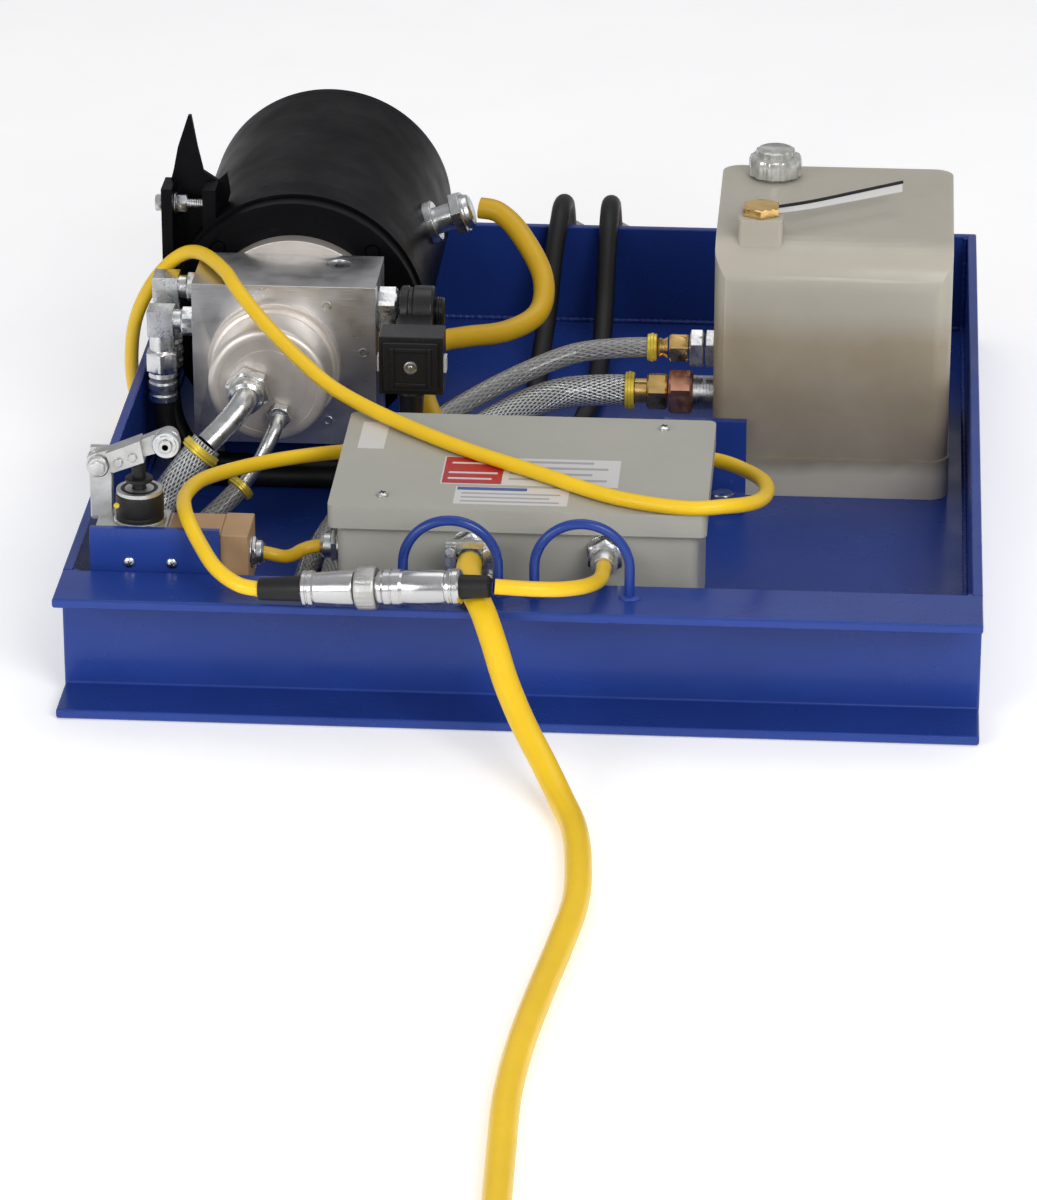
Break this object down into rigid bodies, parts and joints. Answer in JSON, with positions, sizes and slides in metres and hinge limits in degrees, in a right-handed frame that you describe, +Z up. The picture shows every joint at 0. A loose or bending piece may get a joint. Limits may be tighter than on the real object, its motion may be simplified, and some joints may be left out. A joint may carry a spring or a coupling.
{
  "type": "hydraulic power unit",
  "caption": "Compact hydraulic power unit in a steel pan: motor, gear pump, valve block, oil tank, control box, limit switch, hoses and push-button pendant.",
  "frame": {"origin": "On the ground, in the middle of the four bolt holes in the pan's floor.", "axes": "+X to the right when facing the open channel at the front, +Y to the back along the pan, +Z up."},
  "size_m": [0.5656, 1.628, 0.224],
  "materials": {
    "blue_paint": "gloss",
    "black_paint": "semi-gloss",
    "grey_paint": "satin",
    "zinc": "satin",
    "steel": "satin",
    "bright": "polished",
    "aluminium": "machined",
    "iron": "matte",
    "brass": "machined",
    "black_plastic": "matte",
    "natural_plastic": "translucent",
    "yellow_jacket": "satin",
    "yellow_plate": "satin",
    "braid": "satin",
    "clear_hose": "gloss",
    "black_rubber": "matte",
    "yellow_plastic": "gloss",
    "tan_plastic": "satin",
    "green_plastic": "gloss",
    "red_plastic": "gloss",
    "copper": "satin"
  },
  "bodies": {
    "frame": {"pan_floor": "blue_paint", "front_channel": "blue_paint", "pan_rails": "blue_paint", "guard_rings": "blue_paint", "brackets": "blue_paint", "motor_shell": "black_paint", "motor_front_bell": "black_paint", "motor_rear_bell": "black_paint", "motor_stator": "copper", "motor_bearings": "steel", "motor_strap": "black_paint", "adapter_ring": "aluminium", "manifold_block": "aluminium", "pump_body": "aluminium", "pump_cover": "aluminium", "relief_valve": "steel", "valve_cartridge": "zinc", "solenoid_coil": "black_plastic", "din_plug": "black_plastic", "steel_fittings": "zinc", "brass_fittings": "brass", "hose_ferrules": "yellow_plate", "suction_hose": "braid", "return_hose": "clear_hose", "pressure_hose_front": "black_rubber", "pressure_hose_back": "black_rubber", "hose_ends": "zinc", "tank": "natural_plastic", "tank_plug": "brass", "suction_strainer": "steel", "box_body": "grey_paint", "box_lid": "grey_paint", "contactor": "black_plastic", "transformer": "copper", "terminal_strip": "grey_paint", "screws": "zinc", "cable_glands": "zinc", "switch_body": "tan_plastic", "connector": "bright", "wiring_leads": "yellow_jacket", "pigtail": "yellow_jacket", "power_cord": "yellow_jacket", "power_coil": "yellow_jacket", "power_plug": "black_plastic", "pendant_cord": "yellow_jacket", "pendant_curl": "yellow_jacket", "pendant_case": "yellow_plastic"},
    "rotor": {"motor_rotor": "steel", "shaft_coupler": "iron", "drive_gear": "steel"},
    "idler": {"driven_gear": "steel"},
    "plunger": {"valve_plunger": "steel"},
    "armature": {"contactor_armature": "black_plastic"},
    "lever": {"switch_lever": "zinc"},
    "switch_pin": {"switch_plunger": "black_rubber"},
    "roller": {"switch_roller": "zinc"},
    "cap": {"filler_cap": "natural_plastic"},
    "ring": {"coupling_ring": "bright"},
    "up": {"up_button": "green_plastic"},
    "down": {"down_button": "red_plastic"}
  },
  "joints": [
    {"name": "motor_spin", "type": "hinge", "parent": "frame", "child": "rotor", "pos_m": [-0.169, 0.18, 0.097], "axis": [0, 1, 0], "continuous": true},
    {"name": "idler_spin", "type": "hinge", "parent": "frame", "child": "idler", "pos_m": [-0.187, 0, 0.097], "axis": [0, 1, 0], "continuous": true},
    {"name": "valve_travel", "type": "slide", "parent": "frame", "child": "plunger", "axis": [1, 0, 0], "range_m": [0, 0.0025], "stiffness_N_per_m": 300, "springref_m": -0.002},
    {"name": "armature_travel", "type": "slide", "parent": "frame", "child": "armature", "axis": [0, 0, -1], "range_m": [0, 0.003], "stiffness_N_per_m": 500, "springref_m": -0.004},
    {"name": "lever_swing", "type": "hinge", "parent": "frame", "child": "lever", "pos_m": [-0.248, -0.26, 0.133], "axis": [0, 1, 0], "range_deg": [0, 10], "stiffness_Nm_per_rad": 1, "springref_deg": -2.86},
    {"name": "switch_travel", "type": "slide", "parent": "frame", "child": "switch_pin", "axis": [0, 0, -1], "range_m": [0, 0.0036]},
    {"name": "roller_spin", "type": "hinge", "parent": "lever", "child": "roller", "pos_m": [-0.207, -0.269, 0.15], "axis": [0, 1, 0], "continuous": true},
    {"name": "cap_turn", "type": "hinge", "parent": "frame", "child": "cap", "pos_m": [0.134, 0.161, 0.182], "axis": [0, 0, 1], "range_deg": [0, 90]},
    {"name": "coupling_turn", "type": "hinge", "parent": "frame", "child": "ring", "pos_m": [-0.08187, -0.33516, 0.09109], "axis": [0.9907, -0.1041, 0.0872], "range_deg": [0, 120]},
    {"name": "up_press", "type": "slide", "parent": "frame", "child": "up", "axis": [0, 0, -1], "range_m": [0, 0.004], "stiffness_N_per_m": 300, "springref_m": -0.001},
    {"name": "down_press", "type": "slide", "parent": "frame", "child": "down", "axis": [0, 0, -1], "range_m": [0, 0.004], "stiffness_N_per_m": 300, "springref_m": -0.001}
  ],
  "couplings": [
    {"joint": "idler_spin", "follows": "motor_spin", "ratio": -1},
    {"joint": "switch_travel", "follows": "lever_swing", "m_per_rad": 0.02}
  ]
}
